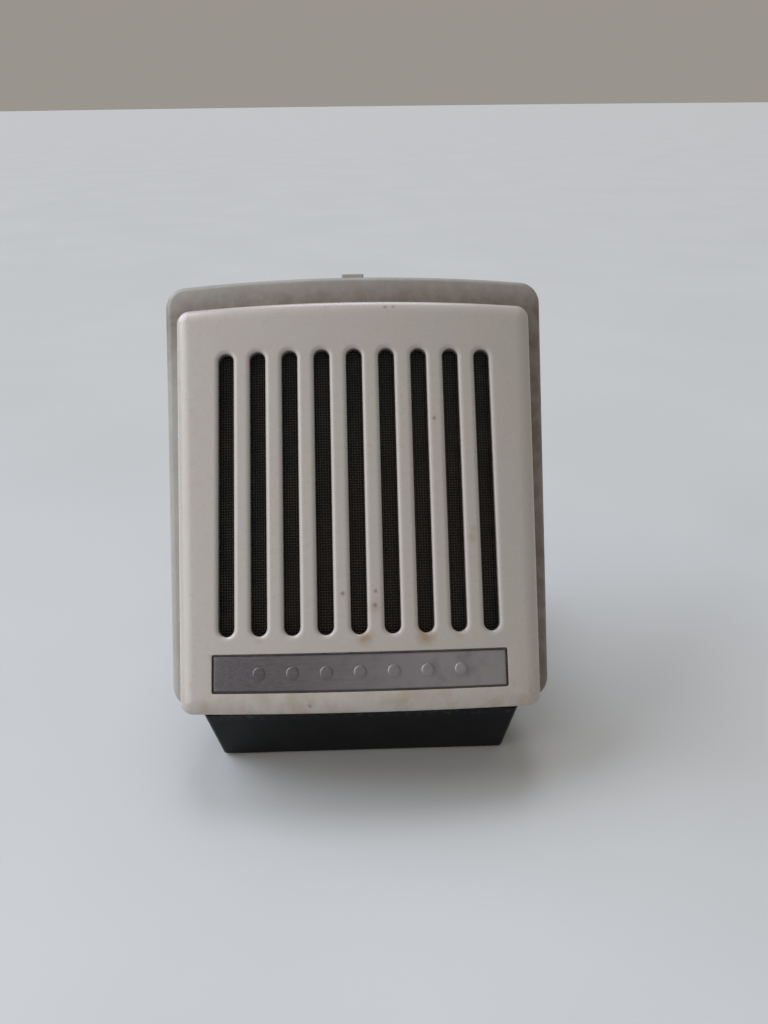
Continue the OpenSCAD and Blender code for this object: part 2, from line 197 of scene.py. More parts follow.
def inside(points, loop):
    """Which of the points lie inside a closed loop, by counting crossings."""
    x, z = points[:, :1], points[:, 1:2]
    a = np.array(loop)
    b = np.roll(a, -1, axis=0)
    spans = (a[:, 1] > z) != (b[:, 1] > z)
    rise = np.where(np.abs(b[:, 1] - a[:, 1]) < 1e-12, 1e-12, b[:, 1] - a[:, 1])
    crossing = (b[:, 0] - a[:, 0]) * (z - a[:, 1]) / rise + a[:, 0]
    return ((spans & (x < crossing)).sum(1) % 2) == 1


def far_from(points, loop, distance):
    """Which of the points are at least a distance from every corner of a loop."""
    gaps = points[:, None, :] - np.array(loop)[None, :, :]
    return (np.square(gaps).sum(2) > distance * distance).all(1)


def fill(bm, outer, holes, depth, curve=1.0, grid=(1.6, 2.6)):
    """Covers the region inside one ring and outside others with well-shaped triangles."""
    loops = [outer] + holes
    clearance = grid[0] * 0.5
    flat = [[(v.co.x, v.co.z) for v in loop] for loop in loops]
    spread = np.array(flat[0])
    xs = np.arange(spread[:, 0].min() + grid[0], spread[:, 0].max(), grid[0])
    zs = np.arange(spread[:, 1].min() + grid[1], spread[:, 1].max(), grid[1])
    mesh_points = np.array([(x, z) for x in xs for z in zs]).reshape(-1, 2)
    keep = inside(mesh_points, flat[0]) & far_from(mesh_points, flat[0], clearance)
    for hole in flat[1:]:
        keep &= ~inside(mesh_points, hole) & far_from(mesh_points, hole, clearance)
    inner = [bm.verts.new((x, face_y(x) * curve + depth, z)) for x, z in mesh_points[keep]]
    verts = [v for loop in loops for v in loop] + inner
    edges = []
    start = 0
    for loop in loops:
        n = len(loop)
        edges += [(start + i, start + (i + 1) % n) for i in range(n)]
        start += n
    made = delaunay_2d_cdt([Vector((v.co.x, v.co.z)) for v in verts], edges, [], 0, 1e-6)
    places, triangles, origins = made[0], made[2], made[3]
    middles = np.array([[sum(places[i][k] for i in t) / 3 for k in (0, 1)] for t in triangles])
    keep = inside(middles, flat[0])
    for hole in flat[1:]:
        keep &= ~inside(middles, hole)
    for triangle, kept in zip(triangles, keep):
        corners = [verts[origins[i][0]] for i in triangle]
        if kept and len(set(corners)) == 3 and not bm.faces.get(corners):
            bm.faces.new(corners)


def finish_mesh(bm, name, to_world, sharp_angle=40):
    """Turns a bmesh in millimetres into an object with clean outward normals."""
    bmesh.ops.recalc_face_normals(bm, faces=bm.faces)
    mesh = bpy.data.meshes.new(name)
    bm.to_mesh(mesh)
    bm.free()
    mesh.transform(to_world)
    mesh.polygons.foreach_set("use_smooth", [True] * len(mesh.polygons))
    mesh.set_sharp_from_angle(angle=math.radians(sharp_angle))
    piece = bpy.data.objects.new(name, mesh)
    bpy.context.scene.collection.objects.link(piece)
    return piece


def apply_modifiers(piece):
    """Makes a piece's modifiers part of its mesh."""
    depsgraph = bpy.context.evaluated_depsgraph_get()
    mesh = bpy.data.meshes.new_from_object(piece.evaluated_get(depsgraph))
    piece.modifiers.clear()
    piece.data = mesh
    return piece


def weigh_normals(piece):
    """Large faces lead the shading, so flats stay flat beside their fillets."""
    weigh = piece.modifiers.new("weigh", "WEIGHTED_NORMAL")
    weigh.keep_sharp = True
    return apply_modifiers(piece)


def cad_copy(node, name, sharp_angle=30):
    """A welded copy of a CAD node's mesh, with its flat faces whole again."""
    weld = 0.002 * MM
    flat_within = math.radians(0.6)
    bm = bmesh.new()
    bm.from_mesh(frame["nodes"][node].data)
    bmesh.ops.remove_doubles(bm, verts=bm.verts, dist=weld)
    bmesh.ops.dissolve_limit(bm, angle_limit=flat_within, verts=bm.verts, edges=bm.edges)
    return finish_mesh(bm, name, Matrix.Identity(4), sharp_angle)


def soften(node, width, segments):
    """A copy of a CAD node with its sharp edges rounded."""
    sharp = math.radians(38)
    piece = cad_copy(node, node + "_soft")
    bevel = piece.modifiers.new("bevel", "BEVEL")
    bevel.width = width * MM
    bevel.segments = segments
    bevel.limit_method = "ANGLE"
    bevel.angle_limit = sharp
    apply_modifiers(piece)
    piece.data.polygons.foreach_set("use_smooth", [True] * len(piece.data.polygons))
    piece.data.set_sharp_from_angle(angle=sharp)
    return weigh_normals(piece)


def stand_for(piece, node, body, material):
    """Puts a piece on its body in a CAD node's place and gives it a finish."""
    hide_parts(node)
    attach(piece, body)
    piece.data.materials.clear()
    piece.data.materials.append(material)


# ---------- material helpers ----------


class Shader:
    """A material under construction, with its nodes joined by short calls."""

    def __init__(self, name, head=True):
        self.material = bpy.data.materials.new(name)
        self.material.use_nodes = True
        self.tree = self.material.node_tree
        self.skin = self.tree.nodes["Principled BSDF"]
        where = self.node("ShaderNodeTexCoord")
        place = self.node("ShaderNodeMapping")
        place.vector_type = "TEXTURE"
        place.inputs["Scale"].default_value = (MM, MM, MM)
        if head:
            place.inputs["Location"].default_value = HEAD_ORIGIN
            place.inputs["Rotation"].default_value = (-LEAN, 0, 0)
        self.join(where.outputs["Object"], place.inputs["Vector"])
        self.at = place.outputs["Vector"]

    def node(self, kind):
        return self.tree.nodes.new(kind)

    def join(self, source, target):
        self.tree.links.new(source, target)

    def put(self, socket, value):
        """Sets a socket to a value, or joins it to another node's output."""
        if isinstance(value, bpy.types.NodeSocket):
            self.join(value, socket)
        else:
            socket.default_value = value

    def put_color(self, socket, color):
        """The same for a colour of red, green and blue."""
        self.put(socket, color if isinstance(color, bpy.types.NodeSocket) else (*color, 1))

    def math(self, kind, a, b=0.0, clamp=False):
        """One arithmetic step."""
        node = self.node("ShaderNodeMath")
        node.operation = kind
        node.use_clamp = clamp
        self.put(node.inputs[0], a)
        self.put(node.inputs[1], b)
        return node.outputs[0]

    def times(self, a, b):
        """The product of two values."""
        return self.math("MULTIPLY", a, b)

    def plus(self, a, b, clamp=False):
        """The sum of two values."""
        return self.math("ADD", a, b, clamp)

    def stretch(self, scale):
        """Millimetre coordinates scaled apart along each axis."""
        node = self.node("ShaderNodeVectorMath")
        node.operation = "MULTIPLY"
        self.join(self.at, node.inputs[0])
        node.inputs[1].default_value = scale
        return node.outputs[0]

    def noise(self, scale, detail=3.0, rough=0.5, at=None, distort=0.0):
        """Cloudy noise. scale is in features a millimetre."""
        node = self.node("ShaderNodeTexNoise")
        self.join(at or self.at, node.inputs["Vector"])
        node.inputs["Scale"].default_value = scale
        node.inputs["Detail"].default_value = detail
        node.inputs["Roughness"].default_value = rough
        node.inputs["Distortion"].default_value = distort
        return node.outputs["Fac"]

    def cells(self, scale):
        """Distance to the nearest of many scattered points."""
        node = self.node("ShaderNodeTexVoronoi")
        self.join(self.at, node.inputs["Vector"])
        node.inputs["Scale"].default_value = scale
        return node.outputs["Distance"]

    def ramp(self, value, low, high, from_value=0.0, to_value=1.0):
        """Maps a range of values to another, smoothly and clamped."""
        node = self.node("ShaderNodeMapRange")
        node.interpolation_type = "SMOOTHSTEP"
        self.put(node.inputs["Value"], value)
        node.inputs["From Min"].default_value = low
        node.inputs["From Max"].default_value = high
        node.inputs["To Min"].default_value = from_value
        node.inputs["To Max"].default_value = to_value
        return node.outputs["Result"]

    def mix(self, amount, a, b):
        """Colour a where the amount is 0, and colour b where it is 1."""
        node = self.node("ShaderNodeMix")
        node.data_type = "RGBA"
        self.put(node.inputs["Factor"], amount)
        self.put_color(node.inputs["A"], a)
        self.put_color(node.inputs["B"], b)
        return node.outputs["Result"]

    def tint(self, color, where, strength, over):
        """Lays one colour over another where a mask is high, up to a strength."""
        return self.mix(self.times(where, strength), color, over)

    def attribute(self, name):
        """A number stored on the mesh by mark()."""
        node = self.node("ShaderNodeAttribute")
        node.attribute_name = name
        return node.outputs["Fac"]

    def part(self, axis):
        """One coordinate, in millimetres."""
        node = self.node("ShaderNodeSeparateXYZ")
        self.join(self.at, node.inputs[0])
        return node.outputs[axis]

    def ring_lines(self, fineness):
        """Noise that changes only with the distance from the capsule's axis, as a lathe leaves it."""
        x = self.part("X")
        z = self.math("SUBTRACT", self.part("Z"), CAPSULE_Z)
        r = self.math("SQRT", self.plus(self.times(x, x), self.times(z, z)))
        node = self.node("ShaderNodeCombineXYZ")
        self.join(r, node.inputs[0])
        self.join(self.times(self.part("Y"), 0.6), node.inputs[1])
        return self.noise(fineness, 5, 0.65, at=node.outputs[0])

    def bands(self, axis, pitch):
        """A wave from 0 to 1 along one axis, such as the turns of a winding."""
        turns = self.times(self.part(axis), 2 * math.pi / pitch)
        return self.times(self.plus(self.math("SINE", turns), 1.0), 0.5)

    def near(self, point, reach, edge):
        """One close to a point and nothing past a reach, with a ragged edge."""
        node = self.node("ShaderNodeVectorMath")
        node.operation = "DISTANCE"
        self.join(self.at, node.inputs[0])
        node.inputs[1].default_value = point
        wobble = self.times(self.noise(1.1, 4, 0.6), edge)
        return self.ramp(self.plus(node.outputs["Value"], wobble), edge * 0.3, reach, 1.0, 0.0)

    def finish(self, color, rough, height=None, depth=0.0, metal=0.0, **sockets):
        """Joins colour, roughness and relief to the surface. depth is the relief in millimetres."""
        self.put_color(self.skin.inputs["Base Color"], color)
        self.put(self.skin.inputs["Roughness"], rough)
        self.skin.inputs["Metallic"].default_value = metal
        for name, value in sockets.items():
            self.skin.inputs[name.replace("_", " ")].default_value = value
        if height is not None:
            bump = self.node("ShaderNodeBump")
            bump.inputs["Strength"].default_value = 1.0
            bump.inputs["Distance"].default_value = depth * MM
            self.join(height, bump.inputs["Height"])
            self.join(bump.outputs["Normal"], self.skin.inputs["Normal"])
        return self.material


# ---------- materials ----------


def ivory_plastic():
    """Aged ivory moulding: faint pink patches, yellow dirt low down, stains, specks, and painted shade with dirt
    in its slots and seams.
    """
    s = Shader("ivory_plastic")
    patches = s.ramp(s.noise(0.05, 3, 0.5), 0.42, 0.62)
    color = s.mix(patches, (0.445, 0.417, 0.390), (0.450, 0.409, 0.386))
    low_down = s.ramp(s.part("Z"), 0.5, 9.0, 1.0, 0.0)
    grime = s.times(low_down, s.ramp(s.noise(0.22, 5, 0.62), 0.38, 0.72))
    color = s.tint(color, grime, 0.62, (0.34, 0.27, 0.195))
    stains = (
        (0.9, 12.4, 2.8, 0.75), (11.8, 12.3, 3.0, 0.85), (18.0, 12.6, 2.0, 0.4),
        (-18.0, 12.6, 2.0, 0.35), (2.8, 17.6, 2.6, 0.35), (20.8, 29.8, 1.9, 0.4),
        (21.3, 31.4, 1.7, 0.3),
    )
    for x, z, reach, strength in stains:
        stain = s.near((x, face_y(x), z), reach, 1.1)
        color = s.tint(color, stain, strength, (0.28, 0.18, 0.09))
    # Painted shade: the slot walls, the badge's bed and the plate's side by the rim are painted near black. This
    # is part dirt and part the shade that falls in these recesses.
    recess_shade_and_dirt = s.ramp(s.attribute("hollow"), 0.35, 1.0)
    recess_shade_and_dirt = s.times(recess_shade_and_dirt, s.ramp(s.noise(0.5, 4, 0.6), 0.25, 0.7, 0.75, 1.0))
    color = s.tint(color, recess_shade_and_dirt, 0.94, (0.050, 0.034, 0.024))
    single_specks = (
        (3.1, 20.5), (2.9, 18.0), (-2.8, 20.2), (-9.0, 0.6), (6.1, 73.4), (7.6, 73.5), (14.6, 52.0),
    )
    for x, z in single_specks:
        speck = s.near((x, face_y(x), z), 0.90, 0.5)
        color = s.tint(color, speck, 0.8, (0.13, 0.07, 0.045))
    specks = s.ramp(s.cells(0.34), 0.018, 0.045, 1.0, 0.0)
    specks = s.times(specks, s.ramp(s.noise(0.12, 2, 0.5), 0.47, 0.55))
    color = s.tint(color, specks, 0.75, (0.14, 0.10, 0.08))
    rough = s.ramp(s.noise(0.35, 4, 0.6), 0.3, 0.7, 0.24, 0.34)
    fine = s.plus(s.noise(9.0, 2, 0.5), s.times(s.noise(0.30, 2, 0.4), 7.0))
    coat = {"Coat_Weight": 0.10, "Coat_Roughness": 0.15}
    return s.finish(color, rough, fine, 0.005, Specular_IOR_Level=0.5, **coat)


def grey_plastic():
    """Mid-grey housing moulding: fine grain, lighter rubbed edges, and brown dust with painted shade on its front
    rim.
    """
    s = Shader("grey_plastic")
    cloud = s.ramp(s.noise(0.06, 3, 0.5), 0.35, 0.65)
    color = s.mix(cloud, (0.320, 0.310, 0.292), (0.350, 0.338, 0.320))
    wear = s.times(s.attribute("edge"), s.ramp(s.noise(0.5, 5, 0.6), 0.40, 0.66))
    color = s.tint(color, wear, 0.35, (0.43, 0.42, 0.40))
    # Painted shade with dust: the rim's front is painted dark brown above the plate, darkest next to it, and
    # beside the plate's right side, where the plate shadows the rim.
    above = s.ramp(s.part("Z"), PLATE_H + 0.5, RIM_H - 0.5, 0.95, 0.30)
    above = s.times(above, s.ramp(s.part("Z"), PLATE_H - 16, PLATE_H + 2, 0.15, 1.0))
    beside = s.ramp(s.part("X"), PLATE_HALF_TOP - 4, PLATE_HALF_TOP - 1, 0.0, 0.95)
    beside = s.times(beside, s.ramp(s.part("Z"), PLATE_H - 5, PLATE_H + 3, 1.0, 0.3))
    shelf = s.times(s.attribute("shelf"), s.math("MAXIMUM", above, beside))
    shelf = s.times(shelf, s.ramp(s.noise(0.35, 6, 0.65), 0.36, 0.64, 0.72, 1.0))
    color = s.tint(color, shelf, 0.82, (0.105, 0.069, 0.044))
    flecks = s.ramp(s.cells(0.8), 0.04, 0.09, 1.0, 0.0)
    flecks = s.times(flecks, s.ramp(s.noise(0.2, 2, 0.5), 0.48, 0.58))
    color = s.tint(color, flecks, 0.6, (0.09, 0.07, 0.055))
    scuff = s.ramp(s.noise(0.8, 5, 0.7, at=s.stretch((1.0, 0.2, 0.25))), 0.62, 0.74)
    color = s.tint(color, scuff, 0.18, (0.40, 0.39, 0.37))
    rough = s.ramp(s.noise(0.4, 4, 0.6), 0.3, 0.7, 0.40, 0.54)
    grain = s.plus(s.noise(5.0, 3, 0.6), s.times(s.noise(0.3, 2, 0.4), 4.0))
    return s.finish(color, rough, grain, 0.011, Specular_IOR_Level=0.4)


def black_plastic():
    """Satin black foot moulding with fine scratches, rubbed edges and a little pale dust."""
    s = Shader("black_plastic", head=False)
    cloud = s.ramp(s.noise(0.08, 4, 0.55), 0.35, 0.65)
    color = s.mix(cloud, (0.0022, 0.0026, 0.0034), (0.0040, 0.0046, 0.0058))
    dust = s.ramp(s.noise(0.22, 7, 0.62), 0.45, 0.80)
    color = s.tint(color, dust, 0.035, (0.12, 0.12, 0.12))
    beside = s.ramp(s.math("ABSOLUTE", s.part("X")), 27.8, 28.7)
    before = s.ramp(s.math("ABSOLUTE", s.part("Y")), 27.6, 28.5)
    rim = s.times(s.math("MAXIMUM", beside, before), s.ramp(s.part("Z"), 11.5, 12.1))
    wear = s.times(rim, s.ramp(s.noise(0.9, 4, 0.6), 0.48, 0.66))
    color = s.tint(color, wear, 0.5, (0.05, 0.05, 0.052))
    scratch = s.noise(1.0, 3, 0.5, at=s.stretch((0.25, 0.25, 7.0)))
    rough = s.plus(s.ramp(s.noise(0.5, 5, 0.6), 0.3, 0.7, 0.34, 0.41), s.times(dust, 0.06))
    relief = s.plus(s.noise(6.0, 2, 0.5), s.times(scratch, 0.6))
    return s.finish(color, rough, relief, 0.007, Specular_IOR_Level=0.17)


def bare_metal(shader, light, dark, rough, lines, tarnish=0.3, relief=0.008):
    """Bare metal with fine lines, uneven gloss and patches of tarnish."""
    color = shader.mix(shader.ramp(lines, 0.30, 0.70), dark, light)
    stain = shader.ramp(shader.noise(0.35, 5, 0.65), 0.48, 0.72)
    color = shader.tint(color, stain, tarnish, tuple(c * 0.45 for c in dark))
    gloss = shader.ramp(lines, 0.3, 0.7, rough - 0.06, rough + 0.08)
    gloss = shader.plus(gloss, shader.times(stain, 0.12))
    return shader.finish(color, gloss, lines, relief, metal=1.0)


def brushed(name, light, dark, rough, head=True):
    """Metal drawn or brushed from left to right."""
    s = Shader(name, head)
    lines = s.noise(1.6, 6, 0.7, at=s.stretch((0.12, 6.0, 6.0)))
    return bare_metal(s, light, dark, rough, lines)


def lathed(name, light, dark, rough, tarnish=0.3):
    """Metal turned about the capsule's axis."""
    s = Shader(name)
    return bare_metal(s, light, dark, rough, s.ring_lines(5.0), tarnish, 0.012)


def badge_metal():
    """Brushed badge with a grey-violet cast and a painted reflection that darkens its left end, with grime at its
    rim.
    """
    s = Shader("badge_metal")
    lines = s.noise(1.3, 7, 0.75, at=s.stretch((0.10, 5.0, 7.0)))
    # Painted reflection: the badge is painted darker toward its left end, where its metal shows less light.
    painted_shade_left = s.ramp(s.part("X"), -24.0, 27.0)
    base = s.mix(painted_shade_left, (0.085, 0.078, 0.088), (0.300, 0.282, 0.300))
    color = s.tint(base, s.ramp(lines, 0.30, 0.75), 0.4, (0.33, 0.315, 0.335))
    cloud = s.ramp(s.noise(0.25, 5, 0.6), 0.45, 0.72)
    color = s.tint(color, cloud, 0.28, (0.11, 0.10, 0.105))
    color = s.tint(color, s.attribute("hollow"), 0.85, (0.03, 0.025, 0.022))
    rough = s.plus(s.ramp(lines, 0.3, 0.7, 0.36, 0.50), s.times(cloud, 0.1))
    return s.finish(color, rough, lines, 0.010, metal=0.85)


def gauze_wire():
    """Blackened gauze threads with grey-brown dust on their crowns, over a black sheet of painted shade."""
    s = Shader("gauze_wire")
    dust = s.ramp(s.noise(0.22, 5, 0.6), 0.35, 0.70)
    color = s.mix(dust, (0.034, 0.029, 0.024), (0.064, 0.054, 0.044))
    lint = s.ramp(s.noise(2.4, 4, 0.7), 0.64, 0.80)
    color = s.tint(color, lint, 0.5, (0.14, 0.125, 0.105))
    shade_sheet = s.attribute("shade_sheet")
    # Painted shade: the sheet behind the gauze is near black, hiding the lit parts inside the head.
    color = s.mix(shade_sheet, color, (0.004, 0.0035, 0.003))
    rough = s.plus(s.ramp(dust, 0.0, 1.0, 0.45, 0.7), s.times(shade_sheet, 0.4), clamp=True)
    return s.finish(color, rough, s.noise(14.0, 2, 0.5), 0.006)


def moulded(name, color, rough, head=True, relief=0.014):
    """Moulded rubber, paint or matt plastic with a fine skin and settled dust."""
    s = Shader(name, head)
    dust = s.ramp(s.noise(0.5, 6, 0.65), 0.50, 0.78)
    dusty = s.tint(color, dust, 0.35, tuple(c * 2.2 + 0.008 for c in color))
    gloss = s.ramp(s.noise(1.2, 4, 0.6), 0.3, 0.7, rough - 0.07, rough + 0.07)
    return s.finish(dusty, gloss, s.noise(7.0, 3, 0.6), relief)


def copper_wire():
    """Enamelled copper, a little darker and redder where the varnish lies thick."""
    s = Shader("copper_wire")
    varnish = s.ramp(s.noise(0.7, 5, 0.65), 0.35, 0.70)
    color = s.mix(varnish, (0.56, 0.23, 0.10), (0.34, 0.10, 0.04))
    gloss = s.ramp(varnish, 0.0, 1.0, 0.24, 0.38)
    return s.finish(color, gloss, s.noise(6.0, 3, 0.6), 0.006, metal=1.0)


def diaphragm_film():
    """Amber film, glossy, with a faint haze and dust."""
    s = Shader("diaphragm_film")
    haze = s.ramp(s.noise(0.4, 5, 0.6), 0.35, 0.70)
    color = s.mix(haze, (0.46, 0.30, 0.13), (0.55, 0.40, 0.21))
    return s.finish(color, s.ramp(haze, 0.0, 1.0, 0.20, 0.34), s.noise(3.0, 3, 0.5), 0.006)


def felt():
    """Pressed grey felt: short fibres in every direction."""
    s = Shader("felt")
    fibres = s.noise(4.0, 8, 0.8, distort=1.6)
    color = s.mix(s.ramp(fibres, 0.35, 0.68), (0.075, 0.070, 0.064), (0.20, 0.19, 0.175))
    return s.finish(color, 0.95, fibres, 0.12, Sheen_Weight=0.3)


def lamination_steel():
    """Stacked transformer plates: their cut edges catch the light one by one, with some rust."""
    s = Shader("lamination_steel")
    stack = s.bands("Y", 0.5)
    color = s.mix(s.ramp(stack, 0.05, 0.5), (0.035, 0.033, 0.032), (0.21, 0.20, 0.20))
    rust = s.ramp(s.noise(0.9, 6, 0.7), 0.56, 0.74)
    color = s.tint(color, rust, 0.6, (0.16, 0.065, 0.028))
    gloss = s.ramp(rust, 0.0, 1.0, 0.42, 0.80)
    return s.finish(color, gloss, s.ramp(stack, 0.0, 0.4), 0.06, metal=0.7)


def phenolic():
    """Brown laminate with a mottled, paper-like grain."""
    s = Shader("phenolic")
    paper = s.noise(0.9, 7, 0.7, at=s.stretch((0.6, 1.0, 2.6)))
    color = s.mix(s.ramp(paper, 0.32, 0.70), (0.14, 0.055, 0.020), (0.30, 0.135, 0.055))
    return s.finish(color, s.ramp(paper, 0.3, 0.7, 0.32, 0.46), paper, 0.02)


def tinned_tag():
    """Tin-plated tags with soft puddles of solder and rosin at their ends."""
    s = Shader("tinned_tag")
    puddle = s.noise(0.7, 3, 0.5)
    color = s.mix(s.ramp(puddle, 0.40, 0.66), (0.50, 0.49, 0.45), (0.68, 0.67, 0.63))
    rosin = s.ramp(s.noise(1.1, 4, 0.6), 0.60, 0.74)
    color = s.tint(color, rosin, 0.5, (0.28, 0.16, 0.05))
    return s.finish(color, s.ramp(puddle, 0.3, 0.7, 0.20, 0.42), puddle, 0.08, metal=1.0)


def wire_insulation():
    """Soft red insulation, faded in places and finely wrinkled."""
    s = Shader("wire_insulation")
    fade = s.ramp(s.noise(0.35, 4, 0.6), 0.35, 0.70)
    color = s.mix(fade, (0.36, 0.028, 0.022), (0.46, 0.075, 0.050))
    return s.finish(color, s.ramp(fade, 0.0, 1.0, 0.36, 0.52), s.noise(4.0, 4, 0.6), 0.02)


def iron_casting():
    """Sand-cast iron: a coarse skin, black scale and rust in its hollows."""
    s = Shader("ballast_iron", head=False)
    skin = s.noise(1.4, 7, 0.7)
    color = s.mix(s.ramp(skin, 0.35, 0.68), (0.035, 0.031, 0.029), (0.12, 0.112, 0.106))
    rust = s.ramp(s.noise(0.16, 6, 0.68), 0.52, 0.70)
    color = s.tint(color, rust, 0.7, (0.19, 0.075, 0.030))
    return s.finish(color, s.ramp(rust, 0.0, 1.0, 0.55, 0.85), skin, 0.22, metal=0.4)


# ---------- shapes of the head ----------


def mark(piece, name, amount):
    """Stores a number from 0 to 1 on each vertex. amount takes a point of the upright head."""
    layer = piece.data.attributes.new(name, "FLOAT", "POINT")
    layer.data.foreach_set("value", [amount(WORLD_TO_HEAD @ v.co) for v in piece.data.vertices])


def clamped(value):
    """The value, held between 0 and 1."""
    return max(0.0, min(1.0, value))


def quarter(radius, steps):
    """Inset and depth along a quarter round, from the flat to the side."""
    turns = [math.pi / 2 * i / steps for i in range(steps + 1)]
    return [(radius * (1 - math.sin(t)), radius * (1 - math.cos(t))) for t in turns]


def front_grille():
    """The ivory plate: one thin shell with soft edges, lipped slots and a bed for the badge."""
    edge_round, edge_reach = 1.3, 2.2
    lip_round, lip_flat = 0.9, 0.7
    wall_in = 2.2
    badge_gap = 0.15
    bed_depth = 0.5
    post_bore, post_r, post_front, post_back, post_ease = 1.15, 2.0, 4.4, 11.9, 0.15
    shape = (PLATE_HALF_BOTTOM, PLATE_HALF_TOP, PLATE_LOW, PLATE_H, PLATE_CORNER)
    bm = bmesh.new()

    def plate_ring(inset, depth):
        return add_ring(bm, rounded_ring(*shape, inset), depth)

    outside = [plate_ring(inset * edge_reach, depth) for inset, depth in quarter(edge_round, 10)]
    outside += [
        plate_ring(inset, depth)
        for inset, depth in (
            (0.0, 3.4), (0.0, RIM_GAP - 0.2), (0.12, RIM_GAP - 0.06),
            (wall_in - 0.1, RIM_GAP - 0.06), (wall_in, RIM_GAP - 0.16),
            (wall_in, PLATE_WALL + 0.4), (wall_in + 0.4, PLATE_WALL),
        )
    ]
    loft(bm, outside)
    front_holes, back_holes = [], []
    for x in SLOT_XS:
        lip = [(grow, depth * lip_flat) for grow, depth in quarter(lip_round, 7)]
        steps = lip + [(0.0, PLATE_WALL - 0.25), (0.2, PLATE_WALL)]
        rings = [add_ring(bm, slot_ring(x, grow), depth) for grow, depth in steps]
        loft(bm, rings)
        front_holes.append(rings[0])
        back_holes.append(rings[-1])

    half = badge_high[0] + badge_gap
    bed_middle = (badge_low[2] + badge_high[2]) / 2
    bed_reach = bed_middle - 2.5
    bed = (half, half, badge_low[2] - badge_gap, badge_high[2] + badge_gap, 0.35)
    bed_rings = [
        add_ring(bm, rounded_ring(*bed, -grow, across=40, up=5, corner=4), depth)
        for grow, depth in ((0.16, 0.0), (0.05, 0.05), (0.0, 0.16), (0.0, bed_depth))
    ]
    loft(bm, bed_rings)
    fill(bm, outside[0], front_holes + [bed_rings[0]], 0.0)
    fill(bm, bed_rings[-1], [], bed_depth)
    fill(bm, outside[-1], back_holes, PLATE_WALL)
    post = [
        (post_bore, post_front), (post_r, post_front), (post_r, post_back - post_ease),
        (post_r - post_ease, post_back), (post_bore + post_ease, post_back),
        (post_bore, post_back - post_ease),
    ]
    for x in (-POST_X, POST_X):
        for z in POST_Z:
            turned(bm, x, z, post, 32)
    piece = weigh_normals(finish_mesh(bm, "front_plate", HEAD_TO_WORLD))

    def hollow(p):
        """Where dark is painted: dirt and painted shade in the badge's bed, the slots and the plate's side near
        the rim.
        """
        depth = p.y - face_y(p.x)
        if 0.1 < depth < 0.6 and abs(p.x) < half + 0.1 and abs(p.z - bed_middle) < bed_reach:
            return 1.0
        in_slots = SLOT_LOW - 1 < p.z < SLOT_HIGH + 1 and abs(p.x) < SLOT_XS[-1] + 2.2
        return clamped(depth / 1.1 if in_slots else (depth - 3.6) / 1.2)

    mark(piece, "hollow", hollow)
    return piece


def badge_plate():
    """The brushed strip, with a soft bevel and a plain row of low round studs, one for each slot but the outermost
    two.
    """
    bm = bmesh.new()
    front, back = 0.02, 0.45
    grime_width = 0.22
    half = badge_high[0] - 0.14
    low, high = badge_low[2] + 0.1, badge_high[2] - 0.14
    shape = (half, half, low, high, 0.3)
    rings = [
        add_ring(bm, rounded_ring(*shape, inset, across=60, up=6, corner=4), depth)
        for inset, depth in ((0.30, front), (0.12, 0.06), (0.02, 0.14), (0.0, 0.22), (0.0, back))
    ]
    loft(bm, rings)
    fill(bm, rings[0], [], front, grid=(1.2, 1.2))
    fill(bm, rings[-1], [], back, grid=(1.2, 1.2))
    middle = (badge_low[2] + badge_high[2]) / 2
    for x in SLOT_XS[1:-1]:
        stud(bm, x, middle)
    piece = weigh_normals(finish_mesh(bm, "badge_plate", HEAD_TO_WORLD))

    def rim(p):
        inset = min(half - abs(p.x), p.z - low, high - p.z)
        return clamped(1 - inset / grime_width)

    mark(piece, "hollow", rim)
    return piece


def stud(bm, x, z):
    """A low round stud that stands out of the badge. Its steps are shares of its radius and height."""
    r, proud = 1.15, 0.26
    steps = ((1.0, -0.15), (1.0, 0.45), (0.9, 0.8), (0.72, 1.0), (0.4, 1.05), (0.0, 1.05))
    y = face_y(x) + 0.03
    turned(bm, x, z, [(0.0, y + 0.1)] + [(r * reach, y - proud * rise) for reach, rise in steps], 28)


